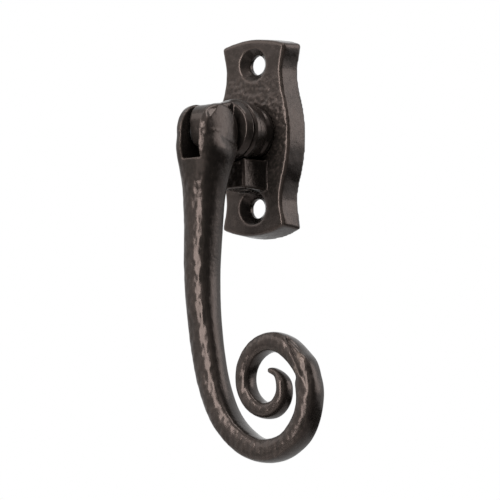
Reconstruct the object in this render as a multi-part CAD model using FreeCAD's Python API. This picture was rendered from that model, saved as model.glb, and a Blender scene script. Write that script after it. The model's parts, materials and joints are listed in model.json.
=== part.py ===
"""Espagnolette window handle with a curled lever, on a waisted backplate.

Millimetres. +Z is up, +X is to the right of someone who looks at the handle,
and the window is at +Y. The origin is on the turning axis, in the plane where
the backplate meets the window.
"""
import FreeCAD, Part
import math
import os

from FreeCAD import Vector

# Backplate: outline, thickness and hollow back
PLATE_DEPTH = 8.5             # from the window to the front face
PLATE_TOP = 29.4              # height of each arched end at the front face
PLATE_BACK_TOP = 29.9         # the same at the window
PLATE_HALF_MIDDLE = 13.4      # half width where the plate bulges at the middle
PLATE_HALF_WAIST = 10.35      # half width at each waist
PLATE_WAIST_Z = 19.8          # height of each waist
PLATE_WAIST_RADIUS = 24.4     # hollow curve of each waist
ARCH_END_X = 11.4             # where each arched end stops, short of the corner
ARCH_END_DROP = 1.9           # how far the upper arch falls by there at the front
ARCH_END_DROP_BACK = 1.9      # and at the window
CORNER_Z = 26.7               # front corner, where the side starts
CORNER_Z_BACK = 24.8          # the same at the window, below a short upright
FOOT_FALL = 0.5               # ends of the lower arch lie nearer the middle by this
FRONT_ROUND = 0.9             # rounding of the front edge
WEB = 4.2                     # thickness of the face behind which it is hollow
OUTLINE_DROP = 1.25           # outline's centre below the turning axis
WALL = 1.9                    # rim of the hollow back

# Fixing holes
FIXING_SPACING = 43.0
FIXING_RADIUS = 2.85          # for an M5 machine screw
FIXING_HEAD_RADIUS = 5.1      # countersink at the front face, 90 degrees
FIXING_DROP = 0.9             # middle of the two holes below the turning axis

# Turning shaft and spindle socket
SHAFT_RADIUS = 6.0
SOCKET_SIDE = 7.0             # square spindle
SOCKET_CLEARANCE = 0.05
SOCKET_DEPTH = 18.0
SHAFT_END_GAP = 0.35          # shaft stops this far short of the window
RUNNING = 0.05                # radial running clearance
FIT = 0.03                    # radial gap between pieces that are pressed together
GAP = 0.15                    # gap between fixed pieces that lie side by side

# Grooved collar round the shaft, and its bronze bush
BUSH_WALL = 0.95
SPIGOT_WALL = 0.9             # collar inside the plate
COLLAR_HEIGHT = 10.4          # in front of the plate
COLLAR_RADIUS = 9.5           # front rim
COLLAR_RING_RADIUS = 8.8      # ring between the two grooves
COLLAR_BASE_RADIUS = 8.1      # ring at the plate
COLLAR_GROOVE_RADIUS = 8.0    # bottom of the front groove
COLLAR_COVE_RADIUS = 7.5      # bottom of the rear groove
COLLAR_BASE_TOP = 1.6
COLLAR_COVE_TOP = 4.1
COLLAR_RING_TOP = 7.3
COLLAR_GROOVE_TOP = 8.0
COLLAR_ROUND = 0.9            # rounding of the front rim

# Block below the collar, which holds the click ball
BLOCK_HALF_WIDTH = 5.0
BLOCK_HEIGHT = 10.7           # in front of the plate
BLOCK_FOOT_Z = -17.5
BLOCK_ROUND = 0.5
BALL_RADIUS = 1.5
BALL_DEPTH = 5.7              # ball's centre in front of the plate
BALL_PLAY = 0.05
BALL_RIDE = 0.04              # ball clears the shaft by this between notches
NOTCH_DEPTH = 0.3
SPRING_WIRE = 0.36
SPRING_TURNS = 5.0
SPRING_ARCS = 4               # arcs in each turn
CLICK_SCREW_RADIUS = 2.0
CLICK_SCREW_LENGTH = 3.2
CLICK_SCREW_SUNK = 0.3
HEX_KEY_RADIUS = 0.95
HEX_SIDES = 6

# Stop plate, spring washer and ring behind the web
REAR_WASHER_THICKNESS = 0.4
REAR_WASHER_RADIUS = 7.8
STOP_THICKNESS = 1.2
STOP_RADIUS = 8.0
STOP_FLAT = 5.2               # half distance between the shaft's two flats
STOP_LOBE_RADIUS = 10.2
STOP_LOBE_DEGREES = 13.0      # half angle of the lobe
STOP_PLAY_DEGREES = 0.6
STOP_LUG_DEGREES = 14.0
TURN_DEGREES = 90.0
LAYER_GAP = 0.1
SPRING_WASHER_THICKNESS = 0.3
SPRING_WASHER_RISE = 0.25
SPRING_WASHER_RADIUS = 7.9
RING_THICKNESS = 0.75
RING_RADIUS = 7.3
RING_GROOVE_RADIUS = 5.55
RING_MOUTH_DEGREES = 26.0
RING_LUG_RADIUS = 1.2
RING_LUG_INSET = 0.4          # lug's centre inside the ring's rim
RING_EYE_RADIUS = 0.6         # hole in each lug

# Rear cover and its screws
COVER_THICKNESS = 1.0
COVER_HALF_HEIGHT = 16.4
COVER_SCREW_X = 6.3
COVER_SCREW_Z = 13.2
COVER_SCREW_RADIUS = 1.0
COVER_SCREW_HEAD_RADIUS = 1.9
COVER_SCREW_SLOT_LENGTH = 2.2
COVER_SCREW_SLOT_WIDTH = 0.4
COVER_SCREW_LENGTH = 3.6
COVER_BOSS_RADIUS = 2.1

# Hub: shoulder, neck and tongue in front of the collar
THRUST_THICKNESS = 0.4
THRUST_RADIUS = 8.3
SHOULDER_RADIUS = 9.2         # at the collar
SHOULDER_FRONT_RADIUS = 8.5   # and where its rounded front corner starts
SHOULDER_LENGTH = 2.0         # between these two
SHOULDER_CORNER = 0.5         # height of that corner
SHOULDER_ROUND = 0.6          # and how far it reaches in
TONGUE_HALF_WIDTH = 2.7
TONGUE_TOP = 8.15             # above the hinge pin
TONGUE_RISE = 1.75            # and higher by this at the shoulder
TONGUE_NOSE = 5.1             # in front of the hinge pin
TONGUE_UNDER_RADIUS = 4.7
TONGUE_HEEL = 4.6             # behind the hinge pin, where the underside drops
CENTRE_MARK_RADIUS = 0.8
CENTRE_MARK_DEPTH = 0.5

# Knuckle: fork, hinge pin and washers
PIN_DEPTH = 22.0              # hinge pin in front of the plate's face
PIN_DROP = 1.5                # and below the turning axis
PIN_RADIUS = 2.0
HEAD_RADIUS = 8.6
HEAD_HALF_WIDTH = 6.35        # at the pin
HEAD_RIM_HALF_WIDTH = 5.5     # at the rim of its two domed faces
HEAD_RIM_RADIUS = 8.05        # there, below the crowned middle of the rim
HEAD_ROUND = 0.7
SLOT_HALF_WIDTH = 3.3
SLOT_FLOOR = 8.3              # below the hinge pin
WASHER_THICKNESS = 0.42
WASHER_RADIUS = 4.2

# Lever: middle line as tangent arcs, each a radius and a length
STEM_X = -1.62
STEM_DROP = 30.1              # start of the arcs below the hinge pin
STEM_HEADING = -93.4          # degrees from +X
CURL_ARCS = ((152.0, 42.2), (45.7, 12.3), (27.4, 15.8), (14.5, 23.2),
             (17.35, 26.6), (10.3, 33.1), (5.95, 20.7))
SECTION_TURN = 24.0           # degrees between sections along the curl
SECTION_LENGTH = 14.0         # and the most length between them
# Distance along the curl, width at the back, depth, width at the front
BAR_SIZES = ((0.0, 9.2, 9.3, 6.6), (18.0, 8.1, 8.9, 6.1), (30.0, 8.4, 7.5, 6.8),
             (40.0, 8.1, 7.4, 6.3), (50.0, 7.3, 7.9, 5.7), (60.0, 6.8, 8.2, 5.3),
             (72.0, 6.5, 8.0, 5.5), (86.0, 6.2, 7.7, 4.6), (110.0, 5.8, 6.8, 4.5),
             (125.0, 5.4, 6.3, 4.4), (139.0, 4.5, 5.8, 3.4), (150.0, 4.7, 5.5, 3.3),
             (158.0, 4.8, 5.5, 2.6), (167.0, 3.7, 4.7, 1.9), (175.6, 0.7, 1.4, 0.5))
# Stem above the arcs: X, distance below the hinge pin, and the same three sizes
STEM_SIZES = ((0.0, 0.0, 10.6, 16.5, 9.8), (0.0, 4.4, 11.6, 16.3, 10.6),
              (-0.35, 7.5, 12.1, 14.9, 10.1), (-0.85, 10.0, 12.1, 13.2, 9.1),
              (-1.3, 13.8, 11.8, 11.4, 7.8), (-1.5, 17.5, 11.1, 10.2, 7.1),
              (-1.6, 22.5, 10.2, 9.6, 6.7))
FRONT_CROWN = 0.12            # rise of the bar's front, as a share of its width there
FRONT_CROWN_MOST = 0.9
SIDE_CROWN = 0.08             # the same for its sides, as a share of the depth
SIDE_LEAN = 0.12              # and how far the swelling sides lean to the front
BACK_ROUND = 0.2              # radius of the two rear edges, as a share of the thinner side
BACK_ROUND_MOST = 1.5
BOW_LEAN = 0.25               # inner poles of a section's edge, as a share of its chord
BOW_REACH = 0.75              # share of its inner poles' rise that a cubic's middle reaches

FACE_Y = -PLATE_DEPTH
WEB_BACK_Y = FACE_Y + WEB
PIN_Y = FACE_Y - PIN_DEPTH
PIN_Z = -PIN_DROP
BUSH_RADIUS = SHAFT_RADIUS + RUNNING + BUSH_WALL
SPIGOT_BORE = BUSH_RADIUS + FIT
SPIGOT_RADIUS = SPIGOT_BORE + SPIGOT_WALL
COLLAR_FRONT_Y = FACE_Y - COLLAR_HEIGHT
SHOULDER_Y = COLLAR_FRONT_Y - THRUST_THICKNESS - 2 * RUNNING
AXIS = Vector(0, 1, 0)
ORIGIN = Vector(0, 0, 0)
SIDEWAYS = Vector(1, 0, 0)
UP = Vector(0, 0, 1)


def rod(radius, y_from, y_to):
    """Cylinder on the turning axis."""
    return Part.makeCylinder(radius, y_to - y_from, Vector(0, y_from, 0), AXIS)


def tube(outer, inner, y_from, y_to):
    """Ring on the turning axis."""
    return rod(outer, y_from, y_to).cut(rod(inner, y_from, y_to))


def box(x_from, x_to, y_from, y_to, z_from, z_to):
    """Box between two values on each axis."""
    return Part.makeBox(x_to - x_from, y_to - y_from, z_to - z_from, Vector(x_from, y_from, z_from))


def polar(radius, degrees, y=0.0):
    """Point round the turning axis, counted from +X towards +Z."""
    angle = math.radians(degrees)
    return Vector(radius * math.cos(angle), y, radius * math.sin(angle))


def turned(profile):
    """Solid of revolution about the turning axis, from points of radius and Y."""
    points = [Vector(radius, y, 0) for radius, y in profile]
    return Part.Face(Part.makePolygon(points + points[:1])).revolve(ORIGIN, AXIS, 360)


def arc(start, middle, end):
    """Edge of a circle through three points."""
    return Part.Arc(start, middle, end).toShape()


def bow(start, middle, end):
    """Cubic edge from start to end that swells out to the middle point."""
    chord = end - start
    rise = (middle - (start + end) * 0.5) * (1 / BOW_REACH)
    lean = chord * BOW_LEAN
    curve = Part.BezierCurve()
    curve.setPoles([start, start + lean + rise, end - lean + rise, end])
    return curve.toShape()


def middle_radius(half_middle, half_waist, waist_radius):
    """Radius of the bulge that runs tangent into both waists."""
    reach = half_waist + waist_radius - half_middle
    return (reach ** 2 + PLATE_WAIST_Z ** 2 - waist_radius ** 2) / (2 * (waist_radius - reach))


def plate_quarter(y, inset, top, drop, corner_z):
    """Points of the upper right quarter of the backplate's outline."""
    half_middle = PLATE_HALF_MIDDLE - inset
    half_waist = PLATE_HALF_WAIST - inset
    waist_radius = PLATE_WAIST_RADIUS + inset
    bulge = middle_radius(half_middle, half_waist, waist_radius)
    waist_x = half_waist + waist_radius
    share = bulge / (bulge + waist_radius)
    join_x = half_middle - bulge + (waist_x - half_middle + bulge) * share
    join_z = PLATE_WAIST_Z * share
    corner_x = waist_x - math.sqrt(waist_radius ** 2 - (corner_z - PLATE_WAIST_Z) ** 2)
    return {
        "middle": Vector(half_middle, y, 0),
        "join": Vector(join_x, y, join_z),
        "waist": Vector(half_waist, y, PLATE_WAIST_Z),
        "corner": Vector(corner_x, y, corner_z),
        "arch_end": Vector(ARCH_END_X - inset, y, top - drop - inset),
        "top": Vector(0, y, top - inset),
    }


def flipped(point, x_sign, z_sign):
    """Point in another quarter of the outline."""
    return Vector(point.x * x_sign, point.y, point.z * z_sign)


def plate_outline(y, inset, top, drop, corner_z):
    """Closed outline of the backplate at one depth."""
    edges = []
    for z_sign, fall in ((1, 0.0), (-1, FOOT_FALL)):
        quarter = plate_quarter(y, inset, top, drop + fall, corner_z - fall)
        for x_sign in (1, -1):
            place = {name: flipped(point, x_sign, z_sign) for name, point in quarter.items()}
            edges.append(arc(place["corner"], place["waist"], place["join"]))
            edges.append(Part.LineSegment(place["arch_end"], place["corner"]).toShape())
        left = flipped(quarter["arch_end"], -1, z_sign)
        right = flipped(quarter["arch_end"], 1, z_sign)
        edges.append(arc(left, flipped(quarter["top"], 1, z_sign), right))
    for x_sign in (1, -1):
        upper = flipped(quarter["join"], x_sign, 1)
        lower = flipped(quarter["join"], x_sign, -1)
        edges.append(arc(upper, flipped(quarter["middle"], x_sign, 1), lower))
    return Part.Wire(Part.__sortEdges__(edges))


def lowered(shape, drop):
    """The shape, moved down."""
    shape.translate(Vector(0, 0, -drop))
    return shape


def plate_body():
    """Waisted plate with arched ends, rounded at the front edge."""
    front = plate_outline(FACE_Y, 0.0, PLATE_TOP, ARCH_END_DROP, CORNER_Z)
    back = plate_outline(0.0, 0.0, PLATE_BACK_TOP, ARCH_END_DROP_BACK, CORNER_Z_BACK)
    body = Part.makeLoft([front, back], True, True)
    rim = [edge for edge in body.Edges if edge.BoundBox.YMax < FACE_Y + GAP]
    return lowered(body.makeFillet(FRONT_ROUND, rim), OUTLINE_DROP)


def hollow():
    """Space behind the face of the plate."""
    outline = plate_outline(WEB_BACK_Y, WALL, PLATE_BACK_TOP, ARCH_END_DROP_BACK, CORNER_Z_BACK)
    return lowered(Part.Face(outline).extrude(Vector(0, -WEB_BACK_Y, 0)), OUTLINE_DROP)


def fixing_hole(z):
    """Through hole with a countersink, for one fixing screw."""
    depth = FIXING_HEAD_RADIUS - FIXING_RADIUS
    hole = Part.makeCylinder(FIXING_RADIUS, PLATE_DEPTH, Vector(0, FACE_Y, z), AXIS)
    cone = Part.makeCone(FIXING_HEAD_RADIUS, FIXING_RADIUS, depth, Vector(0, FACE_Y, z), AXIS)
    return hole.fuse(cone)


def stop_lugs():
    """Two lugs in the hollow where the lobe of the stop plate comes to rest."""
    lugs = []
    for side in (1, -1):
        first = 90 - side * (TURN_DEGREES + STOP_LOBE_DEGREES + STOP_PLAY_DEGREES)
        last = first - side * STOP_LUG_DEGREES
        inner = STOP_RADIUS + 2 * GAP
        outer = PLATE_HALF_MIDDLE - WALL / 2
        corners = [polar(inner, first), polar(outer, first), polar(outer, last), polar(inner, last)]
        for corner in corners:
            corner.y = WEB_BACK_Y
        face = Part.Face(Part.makePolygon(corners + corners[:1]))
        height = REAR_WASHER_THICKNESS + STOP_THICKNESS + LAYER_GAP
        lugs.append(face.extrude(Vector(0, height, 0)))
    return lugs


def click_bore():
    """Bore for the ball and its spring, tapped for the screw at its foot."""
    y = FACE_Y - BALL_DEPTH
    thread_top = BLOCK_FOOT_Z + CLICK_SCREW_SUNK + CLICK_SCREW_LENGTH
    bore = Part.makeCylinder(BALL_RADIUS + BALL_PLAY, -BLOCK_FOOT_Z, Vector(0, y, BLOCK_FOOT_Z), UP)
    thread = Part.makeCylinder(CLICK_SCREW_RADIUS + FIT, thread_top - BLOCK_FOOT_Z,
                               Vector(0, y, BLOCK_FOOT_Z), UP)
    return bore.fuse(thread)


def make_backplate():
    """Cast plate with the click block below its bore and a hollow back."""
    body = plate_body().cut(hollow())
    block = box(-BLOCK_HALF_WIDTH, BLOCK_HALF_WIDTH, FACE_Y - BLOCK_HEIGHT, WEB_BACK_Y,
                BLOCK_FOOT_Z, 0)
    block = block.makeFillet(BLOCK_ROUND, [edge for edge in block.Edges
                                           if edge.BoundBox.YMax < FACE_Y - COLLAR_HEIGHT
                                           and edge.BoundBox.ZMin < -GAP])
    block = block.cut(rod(COLLAR_RADIUS + GAP, FACE_Y - BLOCK_HEIGHT - GAP, FACE_Y))
    body = body.fuse(block)
    for lug in stop_lugs():
        body = body.fuse(lug)
    for x_sign in (1, -1):
        for z_sign in (1, -1):
            place = Vector(COVER_SCREW_X * x_sign, WEB_BACK_Y, COVER_SCREW_Z * z_sign - OUTLINE_DROP)
            body = body.fuse(Part.makeCylinder(COVER_BOSS_RADIUS, -WEB_BACK_Y - COVER_THICKNESS,
                                               place, AXIS))
    body = body.cut(rod(SPIGOT_RADIUS + FIT, FACE_Y - GAP, WEB_BACK_Y + GAP))
    body = body.cut(click_bore())
    for z_sign in (1, -1):
        body = body.cut(fixing_hole(z_sign * FIXING_SPACING / 2 - FIXING_DROP))
    for hole in cover_screw_shapes(COVER_SCREW_RADIUS + FIT, 0.0, LAYER_GAP):
        body = body.cut(hole)
    return body


def make_bearing_collar():
    """Turned collar with two grooves, whose spigot fills the plate's bore."""
    front = COLLAR_FRONT_Y
    profile = [(SPIGOT_BORE, WEB_BACK_Y), (SPIGOT_RADIUS, WEB_BACK_Y), (SPIGOT_RADIUS, FACE_Y),
               (COLLAR_BASE_RADIUS, FACE_Y),
               (COLLAR_BASE_RADIUS, FACE_Y - COLLAR_BASE_TOP),
               (COLLAR_COVE_RADIUS, FACE_Y - (COLLAR_BASE_TOP + COLLAR_COVE_TOP) / 2),
               (COLLAR_RING_RADIUS, FACE_Y - COLLAR_COVE_TOP),
               (COLLAR_RING_RADIUS, FACE_Y - COLLAR_RING_TOP),
               (COLLAR_GROOVE_RADIUS, FACE_Y - (COLLAR_RING_TOP + COLLAR_GROOVE_TOP) / 2),
               (COLLAR_RADIUS, FACE_Y - COLLAR_GROOVE_TOP),
               (COLLAR_RADIUS, front), (SPIGOT_BORE, front)]
    collar = turned(profile)
    rim = [edge for edge in collar.Edges
           if edge.BoundBox.YMax < front + FIT and edge.BoundBox.XMax > COLLAR_RADIUS - FIT]
    return collar.makeFillet(COLLAR_ROUND, rim).cut(click_bore())


def make_bearing_bush():
    """Bronze liner in the collar, with a hole for the ball."""
    bush = tube(BUSH_RADIUS, SHAFT_RADIUS + RUNNING, COLLAR_FRONT_Y, WEB_BACK_Y)
    return bush.cut(click_bore())


def make_thrust_washer():
    """Flat washer between the collar and the hub's shoulder."""
    front = COLLAR_FRONT_Y - RUNNING - THRUST_THICKNESS
    return tube(THRUST_RADIUS, SHAFT_RADIUS + RUNNING, front, COLLAR_FRONT_Y - RUNNING)


def tongue_outline():
    """Side view of the tongue, as a face across its width."""
    x = -TONGUE_HALF_WIDTH
    front = PIN_Y - TONGUE_NOSE
    root = SHOULDER_Y - SHOULDER_LENGTH / 2
    heel_y = PIN_Y + TONGUE_HEEL
    heel_z = PIN_Z - SLOT_FLOOR + 2 * GAP
    slant = math.sqrt(0.5)
    top = PIN_Z + TONGUE_TOP
    crown = top - TONGUE_NOSE
    under = TONGUE_UNDER_RADIUS
    nose_top = Vector(x, front, crown)
    nose_low = Vector(x, PIN_Y - under, PIN_Z)
    nose_foot = Vector(x, PIN_Y, PIN_Z - under)
    root_top = Vector(x, root, top + TONGUE_RISE)
    root_foot = Vector(x, root, heel_z)
    edges = [
        Part.LineSegment(root_top, Vector(x, PIN_Y, top)),
        Part.Arc(Vector(x, PIN_Y, top),
                 Vector(x, PIN_Y - TONGUE_NOSE * slant, crown + TONGUE_NOSE * slant), nose_top),
        Part.LineSegment(nose_top, nose_low),
        Part.Arc(nose_low, Vector(x, PIN_Y - under * slant, PIN_Z - under * slant), nose_foot),
        Part.LineSegment(nose_foot, Vector(x, heel_y, heel_z)),
        Part.LineSegment(Vector(x, heel_y, heel_z), root_foot),
        Part.LineSegment(root_foot, root_top),
    ]
    return Part.Face(Part.Wire([edge.toShape() for edge in edges]))


def notches():
    """Three dimples in the shaft, a quarter turn apart, for the click ball."""
    radius = BALL_RADIUS + BALL_PLAY
    centre = SHAFT_RADIUS + BALL_RADIUS + BALL_RIDE - NOTCH_DEPTH
    return [Part.makeSphere(radius, polar(centre, -90 + turn, FACE_Y - BALL_DEPTH))
            for turn in (0, TURN_DEGREES, -TURN_DEGREES)]


def make_hub():
    """Casting with the shaft, its spindle socket, the shoulder and the tongue."""
    end_y = -SHAFT_END_GAP
    shaft = rod(SHAFT_RADIUS, SHOULDER_Y, end_y)
    corner_y = SHOULDER_Y - SHOULDER_LENGTH
    front_y = corner_y - SHOULDER_CORNER
    rim = Vector(SHOULDER_FRONT_RADIUS, corner_y, 0)
    face_edge = Vector(SHOULDER_FRONT_RADIUS - SHOULDER_ROUND, front_y, 0)
    slant = math.sqrt(0.5)
    swell = Vector(SHOULDER_FRONT_RADIUS - SHOULDER_ROUND * (1 - slant),
                   corner_y - SHOULDER_CORNER * slant, 0)
    outline = [Part.makePolygon([face_edge, Vector(0, front_y, 0), Vector(0, SHOULDER_Y, 0),
                                 Vector(SHOULDER_RADIUS, SHOULDER_Y, 0), rim]),
               arc(rim, swell, face_edge)]
    shoulder = Part.Face(Part.Wire(outline)).revolve(ORIGIN, AXIS, 360)
    tongue = tongue_outline().extrude(Vector(2 * TONGUE_HALF_WIDTH, 0, 0))
    hub = shaft.fuse(shoulder).fuse(tongue)
    half = SOCKET_SIDE / 2 + SOCKET_CLEARANCE
    hub = hub.cut(box(-half, half, end_y - SOCKET_DEPTH, 0, -half, half))
    hub = hub.cut(across_knuckle(PIN_RADIUS + RUNNING, 2 * TONGUE_HALF_WIDTH))
    hub = hub.cut(Part.makeCone(CENTRE_MARK_RADIUS, 0, CENTRE_MARK_DEPTH,
                                Vector(0, PIN_Y - TONGUE_NOSE, PIN_Z + CENTRE_MARK_RADIUS), AXIS))
    groove_y = ring_back_y() - RING_THICKNESS - FIT
    hub = hub.cut(tube(SHAFT_RADIUS + GAP, RING_GROOVE_RADIUS, groove_y, ring_back_y() + FIT))
    for side in (1, -1):
        flat = box(STOP_FLAT, SHAFT_RADIUS + GAP, WEB_BACK_Y, 0, -SHAFT_RADIUS, SHAFT_RADIUS)
        if side < 0:
            flat = flat.mirror(ORIGIN, SIDEWAYS)
        hub = hub.cut(flat)
    for notch in notches():
        hub = hub.cut(notch)
    return hub


def stop_front_y():
    """Front face of the stop plate."""
    return WEB_BACK_Y + RUNNING + REAR_WASHER_THICKNESS + RUNNING


def ring_back_y():
    """Back face of the retaining ring."""
    spring_front = stop_front_y() + STOP_THICKNESS + RUNNING
    spring_back = spring_front + SPRING_WASHER_THICKNESS + SPRING_WASHER_RISE
    return spring_back + RUNNING + RING_THICKNESS


def upright_hexagon(radius, length):
    """Six-sided prism that stands on the origin."""
    corners = [Vector(radius, 0, 0)]
    for step in range(HEX_SIDES):
        angle = 2 * math.pi * (step + 1) / HEX_SIDES
        corners.append(Vector(radius * math.cos(angle), radius * math.sin(angle), 0))
    corners[-1] = corners[0]
    return Part.Face(Part.makePolygon(corners)).extrude(UP * length)


def make_click_ball():
    """Hardened ball that drops into the shaft's notches."""
    centre = SHAFT_RADIUS + BALL_RADIUS + BALL_RIDE
    return Part.makeSphere(BALL_RADIUS, Vector(0, FACE_Y - BALL_DEPTH, -centre))


def make_click_spring():
    """Small coil spring between the ball and the screw."""
    top = -(SHAFT_RADIUS + 2 * BALL_RADIUS + BALL_RIDE) - SPRING_WIRE / 2 - RUNNING
    foot = BLOCK_FOOT_Z + CLICK_SCREW_SUNK + CLICK_SCREW_LENGTH + SPRING_WIRE / 2 + RUNNING
    radius = BALL_RADIUS - SPRING_WIRE
    count = round(SPRING_TURNS * SPRING_ARCS)
    points = []
    for step in range(2 * count + 1):
        angle = 2 * math.pi * step / (2 * SPRING_ARCS)
        height = foot + (top - foot) * step / (2 * count)
        points.append(Vector(radius * math.cos(angle), FACE_Y - BALL_DEPTH + radius * math.sin(angle),
                             height))
    path = Part.Wire([arc(*points[2 * step:2 * step + 3]) for step in range(count)])
    start = path.Edges[0]
    direction = start.tangentAt(start.FirstParameter)
    section = Part.Wire(Part.makeCircle(SPRING_WIRE / 2, points[0], direction))
    return path.makePipeShell([section], True, False)


def make_click_screw():
    """Grub screw that closes the bore and sets the click."""
    y = FACE_Y - BALL_DEPTH
    start = Vector(0, y, BLOCK_FOOT_Z + CLICK_SCREW_SUNK)
    screw = Part.makeCylinder(CLICK_SCREW_RADIUS, CLICK_SCREW_LENGTH, start, UP)
    key = upright_hexagon(HEX_KEY_RADIUS, CLICK_SCREW_LENGTH / 2)
    key.translate(start)
    return screw.cut(key)


def make_rear_washer():
    """Flat washer between the web and the stop plate."""
    front = WEB_BACK_Y + RUNNING
    return tube(REAR_WASHER_RADIUS, SHAFT_RADIUS + RUNNING, front, front + REAR_WASHER_THICKNESS)


def make_stop_plate():
    """Plate keyed to the shaft, whose lobe meets a lug at each end of the turn."""
    front = stop_front_y()
    disc = rod(STOP_RADIUS, front, front + STOP_THICKNESS)
    first = polar(STOP_LOBE_RADIUS, 90 - STOP_LOBE_DEGREES, front)
    top = polar(STOP_LOBE_RADIUS, 90, front)
    last = polar(STOP_LOBE_RADIUS, 90 + STOP_LOBE_DEGREES, front)
    centre = Vector(0, front, 0)
    lobe = Part.Face(Part.Wire([Part.LineSegment(centre, first).toShape(), arc(first, top, last),
                                Part.LineSegment(last, centre).toShape()]))
    disc = disc.fuse(lobe.extrude(Vector(0, STOP_THICKNESS, 0)))
    bore = rod(SHAFT_RADIUS + FIT, front, front + STOP_THICKNESS)
    flat = STOP_FLAT + FIT
    bore = bore.common(box(-flat, flat, front, front + STOP_THICKNESS, -SHAFT_RADIUS - GAP,
                           SHAFT_RADIUS + GAP))
    return disc.cut(bore)


def make_spring_washer():
    """Dished washer that takes up the play along the shaft."""
    front = stop_front_y() + STOP_THICKNESS + RUNNING
    inner = SHAFT_RADIUS + RUNNING
    outer = SPRING_WASHER_RADIUS
    rise = SPRING_WASHER_RISE
    thick = SPRING_WASHER_THICKNESS
    return turned([(outer, front), (outer, front + thick), (inner, front + thick + rise),
                   (inner, front + rise)])


def make_retaining_ring():
    """Open ring in the shaft's groove, with a lug at each end of its mouth."""
    back = ring_back_y()
    front = back - RING_THICKNESS
    ring = tube(RING_RADIUS, RING_GROOVE_RADIUS + FIT, front, back)
    reach = 2 * RING_RADIUS
    half = RING_MOUTH_DEGREES / 2
    corners = [Vector(0, front, 0), polar(reach, -90 - half, front), polar(reach, -90 + half, front)]
    mouth = Part.Face(Part.makePolygon(corners + corners[:1])).extrude(Vector(0, RING_THICKNESS, 0))
    ring = ring.cut(mouth)
    for side in (1, -1):
        turn = -90 + side * (half + math.degrees(RING_LUG_RADIUS / RING_RADIUS))
        place = polar(RING_RADIUS - RING_LUG_INSET, turn, front)
        ring = ring.fuse(Part.makeCylinder(RING_LUG_RADIUS, RING_THICKNESS, place, AXIS))
        ring = ring.cut(Part.makeCylinder(RING_EYE_RADIUS, RING_THICKNESS, place, AXIS))
    return ring.cut(rod(RING_GROOVE_RADIUS + FIT, front, back))


def cover_screw_shapes(radius, head_radius, extra):
    """Countersunk screws at the four corners of the rear cover."""
    shapes = []
    for x_sign in (1, -1):
        for z_sign in (1, -1):
            foot = Vector(COVER_SCREW_X * x_sign, -COVER_SCREW_LENGTH - extra,
                          COVER_SCREW_Z * z_sign - OUTLINE_DROP)
            screw = Part.makeCylinder(radius, COVER_SCREW_LENGTH + extra, foot, AXIS)
            if head_radius:
                depth = head_radius - radius
                top = Vector(foot.x, -depth, foot.z)
                screw = screw.fuse(Part.makeCone(radius, head_radius, depth, top, AXIS))
            shapes.append(screw)
    return shapes


def make_cover_screws():
    """Four countersunk screws with a cross slot each."""
    screws = []
    for screw in cover_screw_shapes(COVER_SCREW_RADIUS, COVER_SCREW_HEAD_RADIUS, 0.0):
        centre = screw.BoundBox.Center
        length = COVER_SCREW_SLOT_LENGTH / 2
        width = COVER_SCREW_SLOT_WIDTH / 2
        depth = COVER_THICKNESS / 2
        for across, along in ((length, width), (width, length)):
            screw = screw.cut(box(centre.x - across, centre.x + across, -depth, 0,
                                  centre.z - along, centre.z + along))
        screws.append(screw)
    return Part.makeCompound(screws)


def make_rear_cover():
    """Thin plate that closes the hollow round the shaft's end."""
    outline = plate_outline(-COVER_THICKNESS, WALL + GAP, PLATE_BACK_TOP, ARCH_END_DROP_BACK,
                            CORNER_Z_BACK)
    cover = Part.Face(outline).extrude(Vector(0, COVER_THICKNESS, 0))
    cover = lowered(cover, OUTLINE_DROP)
    cover = cover.common(box(-PLATE_HALF_MIDDLE, PLATE_HALF_MIDDLE, -COVER_THICKNESS, 0,
                             -COVER_HALF_HEIGHT - OUTLINE_DROP, COVER_HALF_HEIGHT - OUTLINE_DROP))
    cover = cover.cut(rod(SHAFT_RADIUS + GAP, -COVER_THICKNESS, 0))
    for hole in cover_screw_shapes(COVER_SCREW_RADIUS + FIT, COVER_SCREW_HEAD_RADIUS + FIT, 0.0):
        cover = cover.cut(hole)
    return cover


def bar_section(x, z, heading, width, depth, front_width):
    """Section across the lever: crowned front, flared sides, flat back with round edges."""
    across = Vector(-math.sin(heading), 0, math.cos(heading))
    centre = Vector(x, PIN_Y, z)
    crown = min(FRONT_CROWN_MOST, FRONT_CROWN * front_width)
    radius = min(BACK_ROUND_MOST, BACK_ROUND * min(width, depth))
    slant = radius * (1 - math.sqrt(0.5))

    def place(sideways, rearward):
        return centre + across * sideways + AXIS * rearward

    front = [place(side * front_width / 2, -depth / 2) for side in (-1, 1)]
    side_end = [place(side * width / 2, depth / 2 - radius) for side in (-1, 1)]
    back_end = [place(side * (width / 2 - radius), depth / 2) for side in (-1, 1)]
    bend = [place(side * (width / 2 - slant), depth / 2 - slant) for side in (-1, 1)]
    swell = [(front[index] + side_end[index]) * 0.5 + across * (side * SIDE_CROWN * depth)
             - AXIS * (SIDE_LEAN * depth) for index, side in ((0, -1), (1, 1))]
    return Part.Wire([bow(front[0], place(0, -depth / 2 - crown), front[1]),
                      bow(front[1], swell[1], side_end[1]), bow(side_end[1], bend[1], back_end[1]),
                      bow(back_end[1], place(0, depth / 2), back_end[0]),
                      bow(back_end[0], bend[0], side_end[0]), bow(side_end[0], swell[0], front[0])])


def sizes_at(distance):
    """Width, depth and front width of the bar at a distance along the curl."""
    for start, end in zip(BAR_SIZES, BAR_SIZES[1:]):
        if distance <= end[0]:
            break
    share = min(1.0, (distance - start[0]) / (end[0] - start[0]))
    return [low + (high - low) * share for low, high in zip(start[1:], end[1:])]


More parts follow.
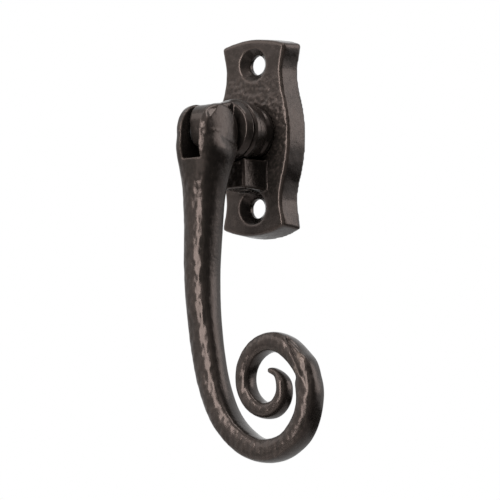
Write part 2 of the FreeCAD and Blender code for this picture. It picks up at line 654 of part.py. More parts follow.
def curl_stations():
    """Places along the curl: X, Z, heading and distance."""
    x = STEM_X
    z = PIN_Z - STEM_DROP
    heading = math.radians(STEM_HEADING)
    distance = 0.0
    stations = [(x, z, heading, distance)]
    for radius, length in CURL_ARCS:
        turn = length / radius
        steps = max(math.ceil(math.degrees(turn) / SECTION_TURN), math.ceil(length / SECTION_LENGTH))
        centre_x = x - radius * math.sin(heading)
        centre_z = z + radius * math.cos(heading)
        for step in range(1, steps + 1):
            angle = heading + turn * step / steps
            stations.append((centre_x + radius * math.sin(angle),
                             centre_z - radius * math.cos(angle), angle,
                             distance + length * step / steps))
        x, z, heading, distance = stations[-1]
    return stations


def lever_bar():
    """Lever from the fork's root to the tip of the curl, in two lengths that share a section."""
    wires = []
    for x, drop, width, depth, front_width in STEM_SIZES:
        wires.append(bar_section(x, PIN_Z - drop, math.radians(-90), width, depth, front_width))
    for x, z, heading, distance in curl_stations():
        wires.append(bar_section(x, z, heading, *sizes_at(distance)))
    half = len(wires) // 2
    upper = Part.makeLoft(wires[:half + 1], True, False)
    return upper.fuse(Part.makeLoft(wires[half:], True, False))


def fork_head():
    """Round head on the hinge pin's axis, with two domed faces and a crowned rim."""
    midway = HEAD_RIM_RADIUS / 2
    fall = (HEAD_HALF_WIDTH - HEAD_RIM_HALF_WIDTH) * (midway / HEAD_RIM_RADIUS) ** 2
    profile = []
    for side in (1, -1):
        hub = Vector(side * HEAD_HALF_WIDTH, 0, 0)
        rim = Vector(side * HEAD_RIM_HALF_WIDTH, 0, HEAD_RIM_RADIUS)
        profile.append((hub, Vector(side * (HEAD_HALF_WIDTH - fall), 0, midway), rim))
    right, left = profile
    wire = Part.Wire([arc(*right), arc(right[2], Vector(0, 0, HEAD_RADIUS), left[2]),
                      arc(left[2], left[1], left[0]), Part.LineSegment(left[0], right[0]).toShape()])
    head = Part.Face(wire).revolve(ORIGIN, SIDEWAYS, 360)
    rims = [edge for edge in head.Edges if edge.BoundBox.ZMax > HEAD_RIM_RADIUS - GAP
            and edge.BoundBox.XLength < GAP]
    head = head.makeFillet(HEAD_ROUND, rims)
    head.translate(Vector(0, PIN_Y, PIN_Z))
    return head


def across_knuckle(radius, half_length, middle=0.0):
    """Cylinder on the hinge pin's axis."""
    start = Vector(middle - half_length, PIN_Y, PIN_Z)
    return Part.makeCylinder(radius, 2 * half_length, start, SIDEWAYS)


def make_lever():
    """Curled lever with a fork at its head."""
    lever = fork_head().fuse(lever_bar())
    reach = 2 * HEAD_RADIUS
    lever = lever.cut(box(-SLOT_HALF_WIDTH, SLOT_HALF_WIDTH, PIN_Y - reach, PIN_Y + reach,
                          PIN_Z - SLOT_FLOOR, PIN_Z + reach))
    return lever.cut(across_knuckle(PIN_RADIUS + FIT, 2 * HEAD_HALF_WIDTH))


def make_hinge_pin():
    """Pin through the fork and the tongue, ground flush."""
    return across_knuckle(PIN_RADIUS, HEAD_HALF_WIDTH - FIT)


def make_knuckle_washer(side):
    """Friction washer between the tongue and one prong."""
    middle = side * (TONGUE_HALF_WIDTH + SLOT_HALF_WIDTH) / 2
    disc = across_knuckle(WASHER_RADIUS, WASHER_THICKNESS / 2, middle)
    return disc.cut(across_knuckle(PIN_RADIUS + RUNNING, WASHER_THICKNESS, middle))


PIECES = {
    "backplate": make_backplate,
    "bearing_collar": make_bearing_collar,
    "bearing_bush": make_bearing_bush,
    "thrust_washer": make_thrust_washer,
    "hub": make_hub,
    "click_ball": make_click_ball,
    "click_spring": make_click_spring,
    "click_screw": make_click_screw,
    "rear_washer": make_rear_washer,
    "stop_plate": make_stop_plate,
    "spring_washer": make_spring_washer,
    "retaining_ring": make_retaining_ring,
    "rear_cover": make_rear_cover,
    "cover_screws": make_cover_screws,
    "lever": make_lever,
    "hinge_pin": make_hinge_pin,
    "knuckle_washer_left": lambda: make_knuckle_washer(-1),
    "knuckle_washer_right": lambda: make_knuckle_washer(1),
}

os.makedirs("parts", exist_ok=True)
for name, make in PIECES.items():
    shape = make()
    shape.exportStep("parts/" + name + ".step")
    low = shape.BoundBox
    print(f"{name:22s} solids {len(shape.Solids)} valid {shape.isValid()} volume {shape.Volume:9.2f}"
          f"  X {low.XMin:7.2f} {low.XMax:7.2f}  Y {low.YMin:7.2f} {low.YMax:7.2f}"
          f"  Z {low.ZMin:7.2f} {low.ZMax:7.2f}")
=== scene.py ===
# %% [markdown]
# # A blackened window handle
#
# The handle is a lever that ends in a curl, hinged on a hub that turns on a
# waisted backplate. The construction comes in as finished solids. This script
# gives them the surface of hand-worked iron: dents and flats that catch the
# light, a black satin finish, and edges worn a little paler. Lengths are in
# metres, and every piece is placed where its solid is.

import json
import math
from contextlib import contextmanager

import bmesh
import bpy
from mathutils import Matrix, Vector, noise


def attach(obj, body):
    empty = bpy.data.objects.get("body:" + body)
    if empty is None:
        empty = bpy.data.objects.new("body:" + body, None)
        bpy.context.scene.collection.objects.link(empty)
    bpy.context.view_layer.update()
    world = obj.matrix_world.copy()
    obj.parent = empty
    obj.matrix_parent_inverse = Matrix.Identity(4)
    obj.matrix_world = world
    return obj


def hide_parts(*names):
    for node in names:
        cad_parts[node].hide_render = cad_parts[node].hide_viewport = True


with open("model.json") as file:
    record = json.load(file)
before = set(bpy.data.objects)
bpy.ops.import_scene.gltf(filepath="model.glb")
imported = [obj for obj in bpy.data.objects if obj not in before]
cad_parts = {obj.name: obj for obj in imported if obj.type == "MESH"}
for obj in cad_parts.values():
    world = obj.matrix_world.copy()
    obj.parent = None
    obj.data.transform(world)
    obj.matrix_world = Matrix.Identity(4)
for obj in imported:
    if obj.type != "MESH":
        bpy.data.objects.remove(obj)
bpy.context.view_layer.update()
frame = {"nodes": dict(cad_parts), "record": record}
MM = 0.001

# %% [markdown]
# ## The camera
#
# A long lens keeps upright edges upright, so the picture is close to a drawing.
# The camera stands to the right of the plate's face and a little below it. It
# aims at a point that is counted from the plate's front face, midway between its
# two holes, along the picture's own right and up directions.

# %% Camera
AZIMUTH = math.radians(38.0)
ELEVATION = math.radians(-6.0)
LENS = 1200.0
SENSOR = 36.0
SIGHT_END = 40.0
PICTURE_PIXELS = 500
PIXELS_PER_MM = 3.356
PICTURE_WIDTH = PICTURE_PIXELS / PIXELS_PER_MM * MM
PLATE_FACE = -8.5 * MM
BETWEEN_HOLES = -0.9 * MM
FACE_MIDDLE = Vector((0.0, PLATE_FACE, BETWEEN_HOLES))
AIM_RIGHT = -0.834 * MM
AIM_UP = -33.85 * MM


def add_object(name, data):
    """Object for a mesh, a lamp or a lens, put into the scene."""
    made = bpy.data.objects.new(name, data)
    bpy.context.scene.collection.objects.link(made)
    return made


right = Vector((math.cos(AZIMUTH), math.sin(AZIMUTH), 0.0))
forward = Vector((-math.sin(AZIMUTH) * math.cos(ELEVATION),
                  math.cos(AZIMUTH) * math.cos(ELEVATION), -math.sin(ELEVATION)))
up = right.cross(forward)
aim = FACE_MIDDLE + right * AIM_RIGHT + up * AIM_UP
distance = PICTURE_WIDTH * LENS / SENSOR

lens = bpy.data.cameras.new("camera")
lens.lens = LENS
lens.sensor_width = SENSOR
lens.clip_end = SIGHT_END
camera = add_object("camera", lens)
camera.location = aim - forward * distance
camera.rotation_euler = forward.to_track_quat("-Z", "Y").to_euler()
bpy.context.scene.camera = camera
bpy.context.scene.view_settings.view_transform = "Standard"
print("camera distance in metres:", round(distance, 3))

# %% [markdown]
# ## Shader maths
#
# A black finish has little colour of its own, so the detail is in how rough and
# how bumpy it is from place to place. Those recipes are sums and products of
# noises. One small class holds a socket and lets plain Python operators add the
# Math nodes, so a recipe reads as a formula.

# %% A socket that can be added and multiplied
MIX_FIRST = 6
MIX_SECOND = 7
MIX_RESULT = 2


class Shade:
    """One output of a node, for formulas that build a material."""

    def __init__(self, tree, socket):
        self.tree = tree
        self.socket = socket

    def node(self, kind, settings=None, inputs=None, output=0):
        """Adds a node of any type and returns one of its outputs."""
        made = self.tree.nodes.new(kind)
        for name, value in (settings or {}).items():
            setattr(made, name, value)
        for name, value in (inputs or {}).items():
            if isinstance(value, Shade):
                self.tree.links.new(value.socket, made.inputs[name])
            else:
                made.inputs[name].default_value = value
        return Shade(self.tree, made.outputs[output])

    def maths(self, operation, *values):
        """Adds a Math node."""
        return self.node("ShaderNodeMath", {"operation": operation}, dict(enumerate(values)))

    def __add__(self, other):
        return self.maths("ADD", self, other)

    def __sub__(self, other):
        return self.maths("SUBTRACT", self, other)

    def __mul__(self, other):
        return self.maths("MULTIPLY", self, other)

    __radd__ = __add__

    def step(self, low, high):
        """Runs smoothly from 0 at low to 1 at high."""
        return self.node("ShaderNodeMapRange", {"interpolation_type": "SMOOTHSTEP"},
                         {"Value": self, "From Min": low, "From Max": high})

    def blend(self, first, second):
        """Colour that is the first where this value is 0 and the second where it is 1."""
        return self.node("ShaderNodeMix", {"data_type": "RGBA"},
                         {"Factor": self, MIX_FIRST: first, MIX_SECOND: second}, MIX_RESULT)


def new_material(name):
    """Material with only an output, and a Shade to start formulas from."""
    material = bpy.data.materials.new(name)
    material.use_nodes = True
    tree = material.node_tree
    tree.nodes.clear()
    start = Shade(tree, None)
    start.end = tree.nodes.new("ShaderNodeOutputMaterial")
    return material, start


def grain(start, size, detail, rough=0.5):
    """Noise with lumps of one size, in metres, fixed to the piece."""
    place = start.node("ShaderNodeTexCoord", output="Object")
    return start.node("ShaderNodeTexNoise", None,
                      {"Vector": place, "Scale": 1.0 / size, "Detail": detail,
                       "Roughness": rough})


def marked(start, name):
    """Value that the mesh holds for each of its points under a name."""
    return start.node("ShaderNodeAttribute", {"attribute_name": name}, output="Fac")


def finish_material(start, constants, varied):
    """Joins a Principled shader to the output."""
    inputs = dict(constants)
    inputs.update(varied)
    surface = start.node("ShaderNodeBsdfPrincipled", None, inputs)
    start.tree.links.new(surface.socket, start.end.inputs["Surface"])


print("shader helpers ready")

# %% [markdown]
# ## Black iron
#
# The real finish is a thin black lacquer over cast and forged iron. It is nearly
# black where nothing bright is mirrored in it, with a warm grey sheen. The
# sheen breaks up where the metal is rough. Edges that hands rub are smoother
# and slightly paler, and an attribute on each mesh, named wear, says where.
# Two more attributes are on the lever alone: cleft marks the bottom of a crease,
# where the lacquer is dull, and torn marks the skin beside it, where brown scale
# shows through.
#
# Most of a noise lies between 0.3 and 0.7, so the two limits of each step choose
# how much of the surface a patch covers.

# %% Black finishes
BLACK = (0.0130, 0.0110, 0.0096, 1.0)
WORN = (0.045, 0.035, 0.030, 1.0)
DUST = (0.021, 0.0168, 0.0147, 1.0)
SCALE = (0.105, 0.080, 0.066, 1.0)
SHEEN = (1.0, 0.78, 0.70, 1.0)
LACQUER_INDEX = 1.34
BROAD_GRAIN = 9.0 * MM
MIDDLE_GRAIN = 1.9 * MM
FINE_GRAIN = 0.42 * MM
MIDDLE_DUST = 0.55
BROAD_DUST = 0.35
RUBBED_LEAST = 0.35
RUBBED_PALER = 0.8
RUBBED_SMOOTHER = 0.05
MIDDLE_ROUGHER = 0.09
FINE_ROUGHER = 0.04
CLEFT_ROUGHER = 0.5
MIDDLE_BUMP = 0.75
FINE_BUMP = 0.2


def black_iron(name, smooth, pitted):
    """Lacquered iron: smooth sets its gloss, pitted the depth of its fine grain."""
    material, start = new_material(name)
    broad = grain(start, BROAD_GRAIN, detail=3.0)
    middle = grain(start, MIDDLE_GRAIN, detail=4.0, rough=0.62)
    fine = grain(start, FINE_GRAIN, detail=3.0, rough=0.6)
    rubbed = marked(start, "wear") * (RUBBED_LEAST + fine.step(0.3, 0.6) * (1.0 - RUBBED_LEAST))
    dusty = middle.step(0.42, 0.68) * MIDDLE_DUST + broad.step(0.45, 0.7) * BROAD_DUST
    colour = dusty.blend(BLACK, DUST)
    colour = (rubbed * RUBBED_PALER).blend(colour, WORN)
    colour = (marked(start, "torn") * middle.step(0.3, 0.6)).blend(colour, SCALE)
    rough = smooth + middle.step(0.35, 0.75) * MIDDLE_ROUGHER
    rough = rough + fine.step(0.4, 0.7) * FINE_ROUGHER - rubbed * RUBBED_SMOOTHER
    rough = rough + marked(start, "cleft") * CLEFT_ROUGHER
    bump = start.node("ShaderNodeBump", None,
                      {"Strength": 1.0, "Distance": pitted,
                       "Height": fine * FINE_BUMP + middle * MIDDLE_BUMP})
    finish_material(start, {"Metallic": 0.0, "IOR": LACQUER_INDEX, "Specular Tint": SHEEN},
                    {"Base Color": colour, "Roughness": rough, "Normal": bump})
    return material


plate_black = black_iron("plate_black", smooth=0.19, pitted=0.10 * MM)
collar_black = black_iron("collar_black", smooth=0.18, pitted=0.02 * MM)
hub_black = black_iron("hub_black", smooth=0.19, pitted=0.08 * MM)
lever_black = black_iron("lever_black", smooth=0.18, pitted=0.09 * MM)
print("black finishes ready")

# %% [markdown]
# ## The metals that don't show from the front
#
# Behind the plate and inside the collar the metals are bare: bronze for what
# rubs, zinc-plated sheet for the cover, oiled spring steel. Each gets a light
# brushing, so that none is one flat colour. The table gives each metal's
# colour, a second tint for its patches, its roughness and the size of its
# scratches.

# %% Bare metals
BARE_METALS = {
    "bronze": ((0.42, 0.26, 0.12, 1.0), (0.30, 0.18, 0.08, 1.0), 0.26, 0.3 * MM),
    "bright_steel": ((0.62, 0.62, 0.62, 1.0), (0.55, 0.55, 0.56, 1.0), 0.10, 0.2 * MM),
    "spring_steel": ((0.28, 0.28, 0.29, 1.0), (0.20, 0.20, 0.22, 1.0), 0.30, 0.3 * MM),
    "dark_steel": ((0.08, 0.08, 0.08, 1.0), (0.05, 0.05, 0.05, 1.0), 0.36, 0.3 * MM),
    "zinc_steel": ((0.46, 0.46, 0.45, 1.0), (0.40, 0.40, 0.38, 1.0), 0.34, 0.5 * MM),
}
TINT_PATCH = 3.2 * MM
SCRATCH_DEPTH = 0.01 * MM
SCRATCH_STRENGTH = 0.25
SCRATCH_ROUGHER = 0.16


def bare_metal(name, colour, tint, rough, scratch):
    """Metal with a faint grain and patches of another tint."""
    material, start = new_material(name)
    fine = grain(start, scratch, detail=3.0)
    shade = grain(start, TINT_PATCH, detail=2.0).step(0.35, 0.7).blend(colour, tint)
    bump = start.node("ShaderNodeBump", None,
                      {"Strength": SCRATCH_STRENGTH, "Distance": SCRATCH_DEPTH, "Height": fine})
    finish_material(start, {"Metallic": 1.0},
                    {"Base Color": shade, "Roughness": rough + fine * SCRATCH_ROUGHER,
                     "Normal": bump})
    return material


def coat(piece, finish):
    """Gives a whole piece one finish."""
    piece.data.materials.clear()
    piece.data.materials.append(finish)


finishes = {"plate_black": plate_black, "collar_black": collar_black, "hub_black": hub_black,
            "lever_black": lever_black}
for metal, values in BARE_METALS.items():
    finishes[metal] = bare_metal(metal, *values)
for part in frame["record"]["subparts"]:
    coat(frame["nodes"][part["node"]], finishes[part["material_slot"]])

# %% [markdown]
# ## Working the iron
#
# A solid has perfect faces, and hand-worked iron has none. Each black piece is
# therefore a copy of its solid that is remeshed into small even squares, eased
# by a few rounds of smoothing, and then worked: every point moves along its
# normal by a hammering recipe. Real moves of the surface bend the reflections
# and show in the outline, which a bump texture can't do.

# %% Copy a solid into small squares
JOIN_DISTANCE = 0.002 * MM
EASE = 0.5
TINY = 0.001


@contextmanager
def editing(mesh):
    """Opens a mesh for changes, and writes them back when they are done."""
    work = bmesh.new()
    work.from_mesh(mesh)
    yield work
    work.to_mesh(mesh)
    work.free()


def copy_solid(node, name, *others):
    """Copy of a solid's mesh, or of several, with the loose triangles joined up."""
    mesh = bpy.data.meshes.new(name)
    with editing(mesh) as work:
        for source in (node,) + others:
            work.from_mesh(frame["nodes"][source].data)
        bmesh.ops.remove_doubles(work, verts=work.verts, dist=JOIN_DISTANCE)
    return add_object(name, mesh)


def small_squares(piece, size):
    """Rebuilds the mesh from even squares of one size."""
    remesh = piece.modifiers.new("squares", "REMESH")
    remesh.mode = "VOXEL"
    remesh.voxel_size = size
    remesh.adaptivity = 0.0
    result = piece.evaluated_get(bpy.context.evaluated_depsgraph_get())
    mesh = bpy.data.meshes.new_from_object(result)
    piece.modifiers.clear()
    old = piece.data
    piece.data = mesh
    bpy.data.meshes.remove(old)


def worked(piece, recipe, rounds):
    """Eases a mesh, moves each point by the recipe and marks the worn edges."""
    with editing(piece.data) as work:
        for _ in range(rounds):
            bmesh.ops.smooth_vert(work, verts=work.verts, factor=EASE, use_axis_x=True,
                                  use_axis_y=True, use_axis_z=True)
        work.normal_update()
        moves = [recipe(vert.co, vert.normal) for vert in work.verts]
        for vert, move in zip(work.verts, moves):
            vert.co += vert.normal * move
        work.normal_update()
        layer = work.verts.layers.float.new("wear")
        for vert in work.verts:
            ring = [edge.other_vert(vert).co for edge in vert.link_edges]
            middle = sum(ring, Vector()) / len(ring)
            vert[layer] = (vert.co - middle).dot(vert.normal)
    piece.data.polygons.foreach_set("use_smooth", [True] * len(piece.data.polygons))


def ease_corners(piece, corners, reach, rounds):
    """Rounds the mesh near lines square to the face, each given by its x and z."""
    with editing(piece.data) as work:
        near = [vert for vert in work.verts
                if any(math.hypot(vert.co.x - x, vert.co.z - z) < reach for x, z in corners)]
        for _ in range(rounds):
            bmesh.ops.smooth_vert(work, verts=near, factor=EASE, use_axis_x=True,
                                  use_axis_z=True)


def clamp(value):
    """The value, but at least 0 and at most 1."""
    return max(0.0, min(1.0, value))


def set_wear(piece, sharp, change=None):
    """Turns the bend of the surface into wear from 0 to 1, which change may alter."""
    layer = piece.data.attributes["wear"].data
    for item, vert in zip(layer, piece.data.vertices):
        share = clamp(item.value / sharp)
        item.value = share * share * (3.0 - 2.0 * share)
        if change:
            item.value = change(vert.co, item.value)


def lumps(place, size, seed):
    """Smooth noise from -1 to 1 with lumps of one size."""
    return noise.noise(place / size + Vector((seed, 0.0, 0.0)))


def dimples(place, size, seed):
    """Round hollows side by side: 0 at each middle, 1 at the ridges between."""
    near = noise.voronoi(place / size + Vector((seed, 0.0, 0.0)))[0]
    return min(1.0, near[0] / max(near[1], TINY))


FINE_SQUARE = 0.32 * MM
SQUARE = FINE_SQUARE
LEVER_SQUARE = SQUARE * 0.85
COLLAR_SQUARE = SQUARE * 0.6
print("squares of", SQUARE / MM, "mm")

# %% [markdown]
# ## The backplate
#
# The plate is cast and then filed. Its sides are smooth, while the face round
# the collar, where no file reaches, keeps the coarse grain of the casting. Its
# four corners are rounded, and they flare outwards by almost half a millimetre.

# %% Backplate
CORNER_X = 11.4 * MM
CORNER_Z = (26.2 * MM, -28.7 * MM)
CORNER_REACH = 3.0 * MM
FILED_WAVE = 6.0 * MM
FILED_WAVE_HEIGHT = 0.12 * MM
FILED_RIPPLE = 2.2 * MM
FILED_RIPPLE_HEIGHT = 0.035 * MM
CAST_PIT = 1.7 * MM
CAST_PIT_DEPTH = 0.19 * MM
CAST_LUMP = 1.1 * MM
CAST_LUMP_HEIGHT = 0.16 * MM
GRAIN_START = 9.5 * MM
GRAIN_REACH = 22.0 * MM
FLARE = 0.45 * MM
FLARE_REACH = 6.0 * MM
FLARE_X = 12.0 * MM
FLARE_Z = (24.5 * MM, -26.5 * MM)
BACK_FACING = 0.7


def plate_recipe(place, normal):
    """Gentle waves, coarse grain round the collar, flared corners and a flat back."""
    if normal.y > BACK_FACING:
        return 0.0
    from_axis = math.hypot(place.x, place.z)
    near = 1.0 - clamp((from_axis - GRAIN_START) / (GRAIN_REACH - GRAIN_START))
    on_face = max(0.0, -normal.y)
    move = lumps(place, FILED_WAVE, seed=3.0) * FILED_WAVE_HEIGHT
    move += lumps(place, FILED_RIPPLE, seed=9.0) * FILED_RIPPLE_HEIGHT
    coarse = dimples(place, CAST_PIT, seed=5.0) * CAST_PIT_DEPTH
    coarse += lumps(place, CAST_LUMP, seed=1.0) * CAST_LUMP_HEIGHT
    from_corner = min(math.hypot(abs(place.x) - FLARE_X, place.z - z) for z in FLARE_Z)
    flare = max(0.0, 1.0 - from_corner / FLARE_REACH) * abs(normal.x) * FLARE
    return move + coarse * near * on_face + flare


plate = copy_solid("backplate", "plate_casting")
small_squares(plate, SQUARE)
corners = [(side * CORNER_X, z) for side in (-1, 1) for z in CORNER_Z]
ease_corners(plate, corners, CORNER_REACH, rounds=22)
worked(plate, plate_recipe, rounds=3)
set_wear(plate, sharp=0.02 * MM)
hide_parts("backplate")
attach(plate, "plate")
coat(plate, plate_black)
print("plate squares:", len(plate.data.polygons))

# %% [markdown]
# ## The crease on the curl
#
# On the curl the skin of the metal is folded over in a crease, and beside the
# crease it is torn in two patches. The crease is a line of a few points in the
# plane of the curl. The same line makes the groove in the mesh and marks where
# the finish is dull or shows scale.

# %% Crease and torn skin
CREASE = ((31.5, -64.3), (34.0, -68.5), (36.3, -72.6), (38.3, -76.6))
CREASE_WIDTH = 0.5 * MM
CREASE_DEPTH = 0.55 * MM
FOLD_WIDTH = 1.3 * MM
FOLD_DROP = 0.45 * MM
CLEFT_SHIFT = 0.1 * MM
CLEFT_REACH = 1.6
FRONT_HALF = -33.5 * MM
FAR_AWAY = 1.0
SCARS = ((38.1, -70.7, 2.5), (36.9, -74.8, 1.9))


def from_crease(x, z):
    """Distance in the curl's plane from the line of the crease, above 0 on its right."""
    nearest = FAR_AWAY
    for start, end in zip(CREASE, CREASE[1:]):
        run = Vector(end) * MM - Vector(start) * MM
        step = Vector((x, z)) - Vector(start) * MM
        share = clamp(step.dot(run) / run.length_squared)
        away = (step - run * share).length
        if away < abs(nearest):
            nearest = math.copysign(away, run.x * step.y - run.y * step.x)
    return nearest


def crease_move(place):
    """The skin is folded over from the left: a groove, and the right side lies lower."""
    away = from_crease(place.x, place.z)
    groove = max(0.0, 1.0 - abs(away) / CREASE_WIDTH)
    step = math.exp(-away / FOLD_WIDTH) if away > 0.0 else 0.0
    return -groove * CREASE_DEPTH - step * FOLD_DROP


def in_cleft(place):
    """1 along the bottom of the crease, 0 away from it."""
    if place.y >= FRONT_HALF:
        return 0.0
    away = abs(from_crease(place.x, place.z) - CLEFT_SHIFT)
    return clamp(CLEFT_REACH - away / CREASE_WIDTH)


def scarring(place):
    """How torn the skin is, from 0 to 1, in two patches beside the crease."""
    torn = 0.0
    for x, z, reach in SCARS:
        away = math.hypot(place.x - x * MM, place.z - z * MM) / (reach * MM)
        torn = max(torn, 1.0 - min(1.0, away) ** 2)
    return torn


def torn_skin(place):
    """Share of bare scale on the curl's front, from 0 to 1."""
    return scarring(place) * (1.0 - in_cleft(place)) if place.y < FRONT_HALF else 0.0


def lever_wear(place, share):
    """No wear in the crease or on the torn skin beside it."""
    return share * (1.0 - in_cleft(place)) * (1.0 - torn_skin(place))


print("crease of", len(CREASE), "points and", len(SCARS), "torn patches")

# %% [markdown]
# ## The lever
#
# The lever is forged: a bar drawn out thinner and thinner and rolled up at the
# end. Hammer blows leave flats along its front edge, so that edge mirrors the
# light as a broken streak. One blow has left a flat on the right shoulder of the
# head, and the face of the head falls away a little towards the right. Below the
# head, the right side of the neck is a little fuller than in the solid.

# %% Lever
BEND = 8.0 * MM
BEND_HEIGHT = 0.08 * MM
BLOW = 2.6 * MM
BLOW_ON_SIDES = 0.02 * MM
BLOW_ON_FRONT = 0.05 * MM
SKIN = 1.3 * MM
SKIN_ON_SIDES = 0.005 * MM
SKIN_ON_FRONT = 0.12 * MM
SKIN_SMOOTHER_HEAD = 0.08 * MM
ALONG_BAR = 0.6
HEAD_BOTTOM = -11.0 * MM
HEAD_FADE = 4.0 * MM
NECK_END = -28.0 * MM
NECK_SIDE = 4.0 * MM
NECK_FILL = 0.4 * MM
RIM_START = 2.8 * MM
RIM_WIDTH = 3.2 * MM
RIM_FALL = 0.4 * MM
FRONT_FACING = 0.2
SCAR_PIT = 1.3 * MM
SCAR_DEPTH = 0.2 * MM
FLAT_PLACE = Vector((5.8, -34.9, 3.5)) * MM
FLAT_DIRECTION = Vector((0.66, -0.5, 0.56)).normalized()
FLAT_REACH = 3.4 * MM
FLAT_FADE = 0.5


def lever_recipe(place, normal):
    """Hammer flats, a fuller neck, the head's falling side and the torn crease."""
    on_front = max(0.0, -normal.y)
    on_head = clamp((place.z - HEAD_BOTTOM) / HEAD_FADE)
    on_neck = clamp((place.z - NECK_END) / HEAD_FADE) * (1.0 - on_head)
    stretched = Vector((place.x, place.y, place.z * ALONG_BAR))
    blow = BLOW_ON_SIDES + BLOW_ON_FRONT * on_front
    skin = SKIN_ON_SIDES + (SKIN_ON_FRONT - SKIN_SMOOTHER_HEAD * on_head) * on_front
    move = lumps(place, BEND, seed=14.0) * BEND_HEIGHT * (1.0 + on_front)
    move += lumps(stretched, BLOW, seed=2.0) * blow + lumps(stretched, SKIN, seed=6.0) * skin
    move += clamp(place.x / NECK_SIDE) * on_neck * on_front * NECK_FILL
    move -= clamp((place.x - RIM_START) / RIM_WIDTH) * on_head * on_front * RIM_FALL
    if on_front > FRONT_FACING and place.x > CREASE[0][0] * MM - CREASE_WIDTH:
        move += crease_move(place)
        move += scarring(place) * dimples(place, SCAR_PIT, seed=8.0) * SCAR_DEPTH
    return move


def hammer_flat(piece, centre, direction, reach):
    """Beats the mesh down to a plane through a point, fading out towards the reach."""
    with editing(piece.data) as work:
        for vert in work.verts:
            away = vert.co - centre
            proud = away.dot(direction)
            spread = (away - direction * proud).length / reach
            if proud > 0.0 and spread < 1.0:
                vert.co -= direction * (proud * min(1.0, (1.0 - spread) / FLAT_FADE))


lever = copy_solid("lever", "forged_lever", "hinge_pin")
small_squares(lever, LEVER_SQUARE)
hammer_flat(lever, FLAT_PLACE, FLAT_DIRECTION, FLAT_REACH)
worked(lever, lever_recipe, rounds=2)
set_wear(lever, sharp=0.02 * MM, change=lever_wear)
for name, share_at in (("cleft", in_cleft), ("torn", torn_skin)):
    layer = lever.data.attributes.new(name, "FLOAT", "POINT")
    for item, vert in zip(layer.data, lever.data.vertices):
        item.value = share_at(vert.co)
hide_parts("lever", "hinge_pin")
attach(lever, "lifting_lever")
coat(lever, lever_black)
print("lever squares:", len(lever.data.polygons))

# %% [markdown]
# ## The hub
#
# The hub's tongue and shoulder keep the skin of their casting. Behind the
# shoulder its shaft is turned to fit the bush and the click ball, so nothing is
# moved there, apart from the three notches for the ball. The squares fill those
# a little, so they are opened again.

# %% Hub
SHAFT_START = -19.2 * MM
NOTCH_FROM_AXIS = 7.24 * MM
NOTCH_Y = -14.2 * MM
NOTCH_RADIUS = 1.56 * MM
HUB_LUMP = 4.0 * MM
HUB_LUMP_HEIGHT = 0.06 * MM
HUB_GRAIN = 1.2 * MM
HUB_GRAIN_HEIGHT = 0.03 * MM


def hub_recipe(place, normal):
    """Skin of a casting in front of the collar, and none on the turned shaft."""
    if place.y > SHAFT_START:
        return 0.0
    return (lumps(place, HUB_LUMP, seed=21.0) * HUB_LUMP_HEIGHT
            + lumps(place, HUB_GRAIN, seed=4.0) * HUB_GRAIN_HEIGHT)


def clear_notches(piece):
    """Opens the shaft's three round notches to their full depth, for the click ball."""
    with editing(piece.data) as work:
        for x, z in ((0.0, -NOTCH_FROM_AXIS), (NOTCH_FROM_AXIS, 0.0), (-NOTCH_FROM_AXIS, 0.0)):
            centre = Vector((x, NOTCH_Y, z))
            for vert in work.verts:
                away = vert.co - centre
                if away.length < NOTCH_RADIUS:
                    vert.co = centre + away.normalized() * NOTCH_RADIUS


hub = copy_solid("hub", "cast_hub")
small_squares(hub, SQUARE)
worked(hub, hub_recipe, rounds=2)
clear_notches(hub)
set_wear(hub, sharp=0.12 * MM)
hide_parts("hub")
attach(hub, "turning_hub")
coat(hub, hub_black)
print("hub squares:", len(hub.data.polygons))

# %% [markdown]
# ## The collar
#
# The collar is turned and nearly smooth, so it gets smaller squares and only the
# slight waves that a hand-held tool leaves.

# %% Collar
TOOL_WAVE = 5.0 * MM
TOOL_WAVE_HEIGHT = 0.03 * MM


def collar_recipe(place, normal):
    """Slight waves of a hand-held tool."""
    return lumps(place, TOOL_WAVE, seed=30.0) * TOOL_WAVE_HEIGHT


collar = copy_solid("bearing_collar", "turned_collar")
small_squares(collar, COLLAR_SQUARE)
worked(collar, collar_recipe, rounds=1)
set_wear(collar, sharp=0.05 * MM)
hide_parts("bearing_collar")
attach(collar, "plate")
coat(collar, collar_black)
print("collar squares:", len(collar.data.polygons))

# %% [markdown]
# ## The room
#
# The handle hangs in a plain white room. The camera and mirroring metal see its
# full white, and dull surfaces get half as much light from it. The floor gives
# back a little light from below, and the camera itself doesn't see it.

# %% Floor and room
FLOOR_HEIGHT = -0.55
FLOOR_SIDE = 6.0
FLOOR_GREY = (0.8, 0.8, 0.8, 1.0)
ROOM_LEVEL = 0.5

floor_mesh = bpy.data.meshes.new("floor")
with editing(floor_mesh) as floor_work:
    bmesh.ops.create_grid(floor_work, x_segments=1, y_segments=1, size=FLOOR_SIDE / 2)
    bmesh.ops.translate(floor_work, verts=floor_work.verts, vec=(0.0, 0.0, FLOOR_HEIGHT))
floor = add_object("floor", floor_mesh)
floor.visible_camera = False
floor_paint, floor_start = new_material("floor_paint")
finish_material(floor_start, {"Base Color": FLOOR_GREY, "Roughness": 0.9}, {})
coat(floor, floor_paint)

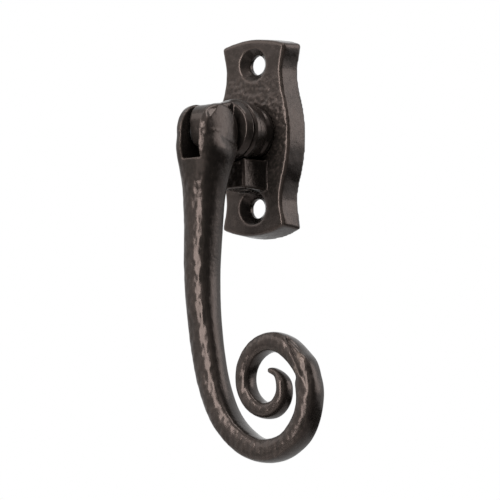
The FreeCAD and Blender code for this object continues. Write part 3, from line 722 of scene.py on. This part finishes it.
world = bpy.data.worlds.new("studio")
bpy.context.scene.world = world
world.use_nodes = True
world.node_tree.nodes.clear()
sky = Shade(world.node_tree, None)
direct = sky.node("ShaderNodeLightPath", output="Is Camera Ray")
mirrored = Shade(world.node_tree, direct.socket.node.outputs["Is Glossy Ray"])
through = Shade(world.node_tree, direct.socket.node.outputs["Is Transmission Ray"])
seen = direct.maths("MAXIMUM", direct.maths("MAXIMUM", direct, mirrored), through)
glow = sky.node("ShaderNodeBackground", None,
                {"Color": (1.0, 1.0, 1.0, 1.0), "Strength": ROOM_LEVEL + seen * (1.0 - ROOM_LEVEL)})
world_end = world.node_tree.nodes.new("ShaderNodeOutputWorld")
world.node_tree.links.new(glow.socket, world_end.inputs["Surface"])
print("room ready")

# %% [markdown]
# ## Lamps and cards
#
# Black metal shows only what it mirrors, so the studio is planned by what each
# face should find there. Flat front faces look to the left, at the white room
# and a soft lamp high up in it. The right half of a crowned face looks straight
# ahead, past the camera, at a tall bright lamp. The sides look to the right, at
# a tall black card, and past the card at a slightly warm lamp behind, with a low
# card under it. A lamp overhead puts a spot on the rounded tops. The camera
# itself doesn't see the cards.

# %% Lamps and cards
LAMP_AWAY = 1.2
CARD_AWAY = 1.0
CARD_STEPS = 7
WHITE = (1.0, 1.0, 1.0)
WARM = (1.0, 0.92, 0.88)
CLOTH_BLACK = (0.004, 0.004, 0.004, 1.0)


def direction_of(azimuth, elevation):
    """Unit vector out from the handle, azimuth from the front towards the right."""
    turn = math.radians(azimuth)
    rise = math.radians(elevation)
    return Vector((math.sin(turn) * math.cos(rise), -math.cos(turn) * math.cos(rise),
                   math.sin(rise)))


def soft_lamp(name, azimuth, elevation, width, height, brightness, tint=WHITE):
    """Lamp that faces the handle; brightness is what a mirror would show of it."""
    direction = direction_of(azimuth, elevation)
    light = bpy.data.lights.new(name, "AREA")
    light.shape = "RECTANGLE"
    light.size = width
    light.size_y = height
    light.energy = brightness * width * height * math.pi
    light.color = tint
    lamp = add_object(name, light)
    lamp.location = aim + direction * LAMP_AWAY
    lamp.rotation_euler = (-direction).to_track_quat("-Z", "Y").to_euler()


def black_card(name, first, last, lowest, highest):
    """Part of a sphere of black cloth round the handle, between azimuths and elevations."""
    mesh = bpy.data.meshes.new(name)
    with editing(mesh) as work:
        rows = []
        for row in range(CARD_STEPS + 1):
            rise = lowest + (highest - lowest) * row / CARD_STEPS
            turns = [first + (last - first) * step / CARD_STEPS for step in range(CARD_STEPS + 1)]
            rows.append([work.verts.new(aim + direction_of(turn, rise) * CARD_AWAY)
                         for turn in turns])
        for low, high in zip(rows, rows[1:]):
            for step in range(CARD_STEPS):
                work.faces.new((low[step], low[step + 1], high[step + 1], high[step]))
    card = add_object(name, mesh)
    card.visible_camera = False
    coat(card, cloth)


soft_lamp("past_camera", azimuth=-4.0, elevation=12.0, width=0.5, height=1.0, brightness=13.5)
soft_lamp("upper_left", azimuth=-42.0, elevation=28.0, width=0.7, height=0.6, brightness=2.0)
soft_lamp("overhead", azimuth=80.0, elevation=70.0, width=0.6, height=0.6, brightness=7.0)
soft_lamp("behind_right", azimuth=138.5, elevation=18.0, width=0.44, height=0.6, brightness=3.1,
          tint=WARM)
cloth, cloth_start = new_material("black_cloth")
finish_material(cloth_start, {"Base Color": CLOTH_BLACK, "Roughness": 1.0}, {})
black_card("black_card", first=8.0, last=128.0, lowest=-60.0, highest=30.0)
black_card("low_card", first=128.0, last=172.0, lowest=-60.0, highest=-9.0)
